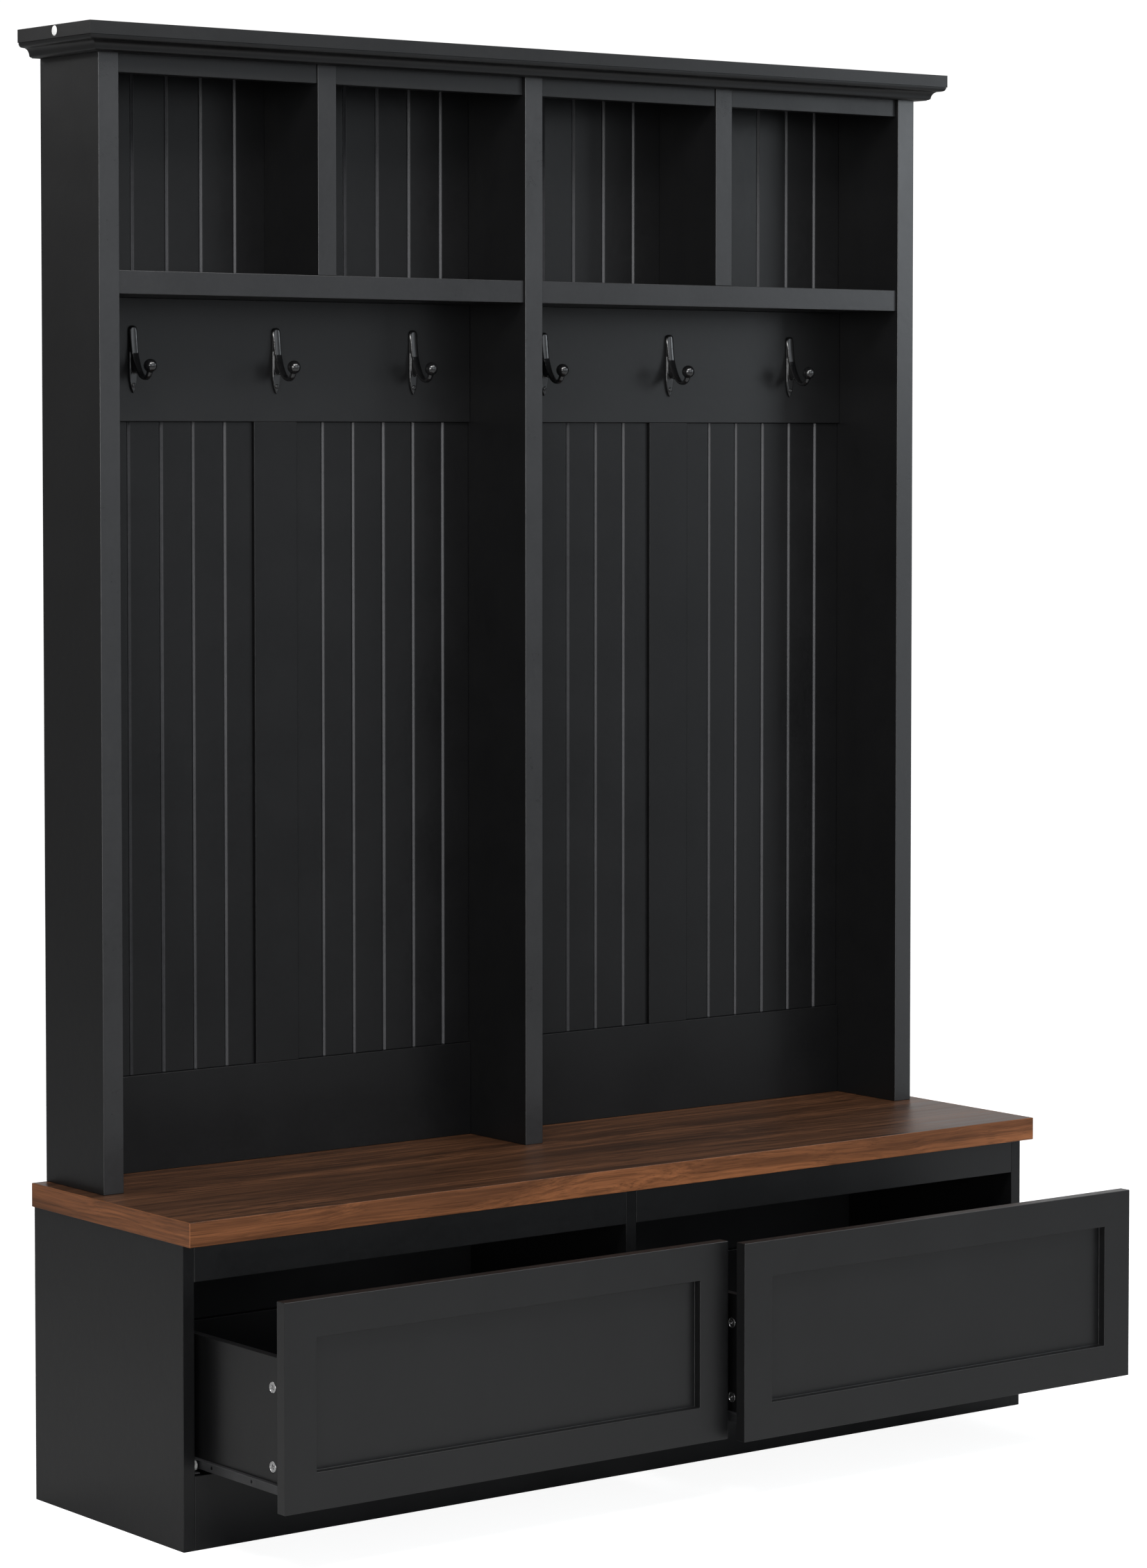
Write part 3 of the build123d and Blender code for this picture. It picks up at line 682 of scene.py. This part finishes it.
# Half the plate's outline, from its tip to its top, and its layers: distance out, and how far
# the outline is drawn in there.
HOOK_LEAF = [
    (0.0, 0.2), (2.1, 3.4), (3.8, 7.4), (5.2, 12.5), (6.2, 18.5), (6.8, 25.0), (6.95, 32.0),
    (6.95, 86.5), (6.4, 89.9), (5.0, 92.3), (2.8, 93.9), (0.0, 94.4),
]
HOOK_LAYERS = ((0.0, 0.0), (2.6, 0.0), (3.5, 0.483), (3.9, 1.38))
TIP_SHARPNESS = 1.6                 # the tip is drawn in more than the sides
STRAP_POWER = 2.3
WEB_POWER = 2.8
MM = 0.001


def hook_mesh():
    """One hook as a single cast skin, with its plate's tip on the board at the origin."""
    bm = bmesh.new()
    along_x = Vector((1, 0, 0))

    def at(out, up):
        return Vector((0, -out, up)) * MM

    # plate, with a raised middle and softened rim
    outline = HOOK_LEAF + [(-x, z) for x, z in reversed(HOOK_LEAF[1:-1])]
    top = HOOK_LEAF[-1][1]
    rings = []
    for out, inset in HOOK_LAYERS:
        level = []
        for x, z in outline:
            inset_x = math.copysign(max(abs(x) - inset, 0.0), x)
            inset_z = min(max(z, inset * TIP_SHARPNESS), top - inset)
            level.append(bm.verts.new((inset_x * MM, -out * MM, inset_z * MM)))
        rings.append(level)
    loft(bm, rings)

    # strap and arm
    rings = []
    for k, (out, up, half_x, half_t) in enumerate(HOOK_LINE):
        before = HOOK_LINE[max(k - 1, 0)]
        after = HOOK_LINE[min(k + 1, len(HOOK_LINE) - 1)]
        run = (at(*after[:2]) - at(*before[:2])).normalized()
        normal = along_x.cross(run).normalized()
        rings.append(ring(bm, at(out, up), along_x, normal, half_x * MM, half_t * MM, STRAP_POWER))
    loft(bm, rings)

    # web between the plate and the strap
    along_z = Vector((0, 0, 1))
    loft(bm, [
        ring(bm, at(out, up), along_x, along_z, HOOK_WEB_HALF * MM, half_z * MM, WEB_POWER)
        for out, up, half_z in HOOK_WEB
    ])

    # ball
    out, up, radius = HOOK_BALL
    bmesh.ops.create_uvsphere(bm, u_segments=48, v_segments=32, radius=radius * MM,
                              matrix=Matrix.Translation(at(out, up)))
    return mesh_from(bm, "hook_rough")


CAST_GRAIN = 0.00055
CAST_SMOOTHING = 6


def cast(mesh):
    """Fuses overlapping forms into one smooth skin."""
    rough = bpy.data.objects.new("hook_rough", mesh)
    bpy.context.scene.collection.objects.link(rough)
    remesh = rough.modifiers.new("fuse", "REMESH")
    remesh.mode = "VOXEL"
    remesh.voxel_size = CAST_GRAIN
    smooth = rough.modifiers.new("soften", "SMOOTH")
    smooth.factor = 0.5
    smooth.iterations = CAST_SMOOTHING
    bpy.context.view_layer.update()
    graph = bpy.context.evaluated_depsgraph_get()
    made = bpy.data.meshes.new_from_object(rough.evaluated_get(graph))
    made.name = "hook_cast"
    bpy.data.objects.remove(rough)
    for polygon in made.polygons:
        polygon.use_smooth = True
    return made


hook_form = cast(hook_mesh())
board_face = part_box("hook_board_left")[0].y
for number in range(1, 7):
    node = f"hook_{number}"
    low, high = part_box(node)
    mesh = hook_form.copy()
    mesh.transform(Matrix.Translation(((low.x + high.x) / 2, board_face, low.z)))
    add_piece(f"{node}_casting", mesh, node)

SCREW_TOP = 0.0056
SCREW_PROFILE = [(0.0, 0.0), (0.0019, 0.0), (0.0019, 0.0040), (0.0034, 0.0040),
                 (0.0034, 0.0044), (0.0031, 0.0050), (0.0022, 0.0054), (0.0012, 0.00558),
                 (0.0, SCREW_TOP)]
SCREW_SLOT = (0.0034, 0.0008, 0.0011)
SCREW_SLOT_TURN = 0.4
bm, cutters = bmesh.new(), bmesh.new()
for a, b in islands("hook_screws"):
    place = middle_of(a, b)
    place.y = b.y
    spot = facing(place, (0, -1, 0))
    turn(bm, SCREW_PROFILE, spot)
    head = spot @ Matrix.Translation((0, 0, SCREW_TOP)) @ Matrix.Rotation(SCREW_SLOT_TURN, 4, "Z")
    cross_slot(cutters, head, *SCREW_SLOT)
add_piece("hook_screws_turned", carve(mesh_from(bm, "hook_screws_mesh"), cutters), "hook_screws")

# ---- floor, light and camera --------------------------------------------------------------
STAGE = 14.0                # half the floor's width
SEEN_FLOOR = -0.0002        # heights of the floor for the camera and the one for the light
LIT_FLOOR = -0.001


def glow(name, strength, diffuse):
    """A matt white that also gives some light of its own, for what only the camera sees."""
    material = bpy.data.materials.new(name)
    material.use_nodes = True
    shader = material.node_tree.nodes["Principled BSDF"]
    shader.inputs["Base Color"].default_value = (diffuse, diffuse, diffuse, 1.0)
    shader.inputs["Roughness"].default_value = 0.9
    shader.inputs["Specular IOR Level"].default_value = 0.0
    shader.inputs["Emission Color"].default_value = (1.0, 1.0, 1.0, 1.0)
    shader.inputs["Emission Strength"].default_value = strength
    return material


def stage_piece(name, bm, material, seen_by_camera):
    """A floor or backdrop: either for the camera alone, or for the light alone."""
    obj = bpy.data.objects.new(name, mesh_from(bm, name))
    bpy.context.scene.collection.objects.link(obj)
    obj.data.materials.append(material)
    obj.visible_camera = seen_by_camera
    obj.visible_diffuse = not seen_by_camera
    obj.visible_glossy = not seen_by_camera
    obj.visible_transmission = not seen_by_camera
    obj.visible_shadow = not seen_by_camera


def floor_grid(height):
    bm = bmesh.new()
    bmesh.ops.create_grid(bm, x_segments=1, y_segments=1, size=STAGE,
                          matrix=Matrix.Translation((0.0, 0.0, height)))
    return bm


dome = bmesh.new()
bmesh.ops.create_uvsphere(dome, u_segments=32, v_segments=16, radius=STAGE * 0.98)
stage_piece("studio_dome", dome, glow("studio_dome", 1.05, 0.0), True)
stage_piece("studio_floor", floor_grid(SEEN_FLOOR), glow("studio_floor", 0.90, 0.5), True)
stage_piece("studio_floor_bounce", floor_grid(LIT_FLOOR), glow("studio_bounce", 0.0, 0.55), False)

# The studio's light as soft lobes: the direction each comes from, its tightness, and its colour.
LOBES = [
    ((0.086, -0.987, 0.139), 8.0, (1.68, 1.77, 1.86)),
    ((0.6, -0.8, 0.05), 8.0, (0.09, 0.095, 0.1)),
    ((-0.6, 0.8, 0.1), 8.0, (0.26, 0.26, 0.26)),
    ((-0.79, -0.61, 0.05), 60.0, (14.0, 14.0, 14.0)),
    ((0.61, 0.79, 0.10), 10.0, (0.90, 0.90, 0.90)),
    ((0.61, 0.06, 0.78), 40.0, (5.0, 5.0, 5.0)),
]


def light_world(lobes):
    """A world whose light is the sum of the lobes, each strongest in its own direction."""
    world = bpy.data.worlds.new("studio")
    bpy.context.scene.world = world
    world.use_nodes = True
    tree = world.node_tree
    tree.nodes.clear()
    direction = add_node(tree, "ShaderNodeTexCoord").outputs["Generated"]
    total = (0.0, 0.0, 0.0)
    for toward, tightness, colour in lobes:
        aim = Vector(toward).normalized()
        dot = add_node(tree, "ShaderNodeVectorMath", {0: direction, 1: aim},
                       operation="DOT_PRODUCT").outputs["Value"]
        held = add_node(tree, "ShaderNodeMath", {0: dot, 1: 0.0}, operation="MAXIMUM")
        power = add_node(tree, "ShaderNodeMath", {0: held.outputs["Value"], 1: tightness},
                         operation="POWER")
        lobe = add_node(tree, "ShaderNodeVectorMath",
                        {0: colour, "Scale": power.outputs["Value"]}, operation="SCALE")
        total = add_node(tree, "ShaderNodeVectorMath", {0: total, 1: lobe.outputs["Vector"]},
                         operation="ADD").outputs["Vector"]
    background = add_node(tree, "ShaderNodeBackground", {"Color": total})
    add_node(tree, "ShaderNodeOutputWorld", {"Surface": background.outputs["Background"]})


light_world(LOBES)
bpy.context.scene.view_settings.view_transform = "Standard"


def softbox(name, place, target, size, energy, colour=(1.0, 1.0, 1.0)):
    """A rectangular lamp that faces its target."""
    data = bpy.data.lights.new(name, "AREA")
    data.shape = "RECTANGLE"
    data.size, data.size_y = size
    data.energy = energy
    data.color = colour
    lamp = bpy.data.objects.new(name, data)
    lamp.location = place
    lamp.rotation_euler = (Vector(target) - Vector(place)).to_track_quat("-Z", "Y").to_euler()
    bpy.context.scene.collection.objects.link(lamp)


softbox("overhead", (0.3, -1.6, 3.8), (0.0, 0.0, 1.0), (2.4, 1.2), 76.0)
softbox("overhead_left", (-1.6, -1.8, 3.6), (0.0, 0.0, 1.4), (1.2, 1.2), 74.0)
softbox("left_rear", (-2.0, 1.5, 2.9), (-0.75, 0.2, 1.7), (0.8, 0.8), 24.0)
softbox("left_strip", (-3.4, -1.2, 1.2), (0.0, 0.0, 1.2), (0.6, 2.4), 6.0)
COOL = (0.93, 1.0, 1.06)
softbox("right", (3.0, -1.9, 2.4), (0.4, 0.0, 1.4), (1.0, 1.4), 12.5, COOL)
softbox("right_strip", (3.2, -2.3, 1.3), (0.0, 0.0, 1.2), (0.8, 2.4), 6.0, COOL)

CAMERA_PLACE = (-3.9196, -5.0492, 1.4741)
CAMERA_DOWN = 2.753         # degrees below level
CAMERA_RIGHT = 37.44        # degrees turned clockwise from +Y
camera_data = bpy.data.cameras.new("camera")
camera_data.sensor_fit = "VERTICAL"
camera_data.sensor_height = 24.0
camera_data.lens = 68.83
camera_data.shift_y = -0.0833
camera_data.clip_end = 60.0
camera = bpy.data.objects.new("camera", camera_data)
camera.location = CAMERA_PLACE
camera.rotation_euler = (math.radians(90 - CAMERA_DOWN), 0.0, math.radians(-CAMERA_RIGHT))
bpy.context.scene.collection.objects.link(camera)
bpy.context.scene.camera = camera
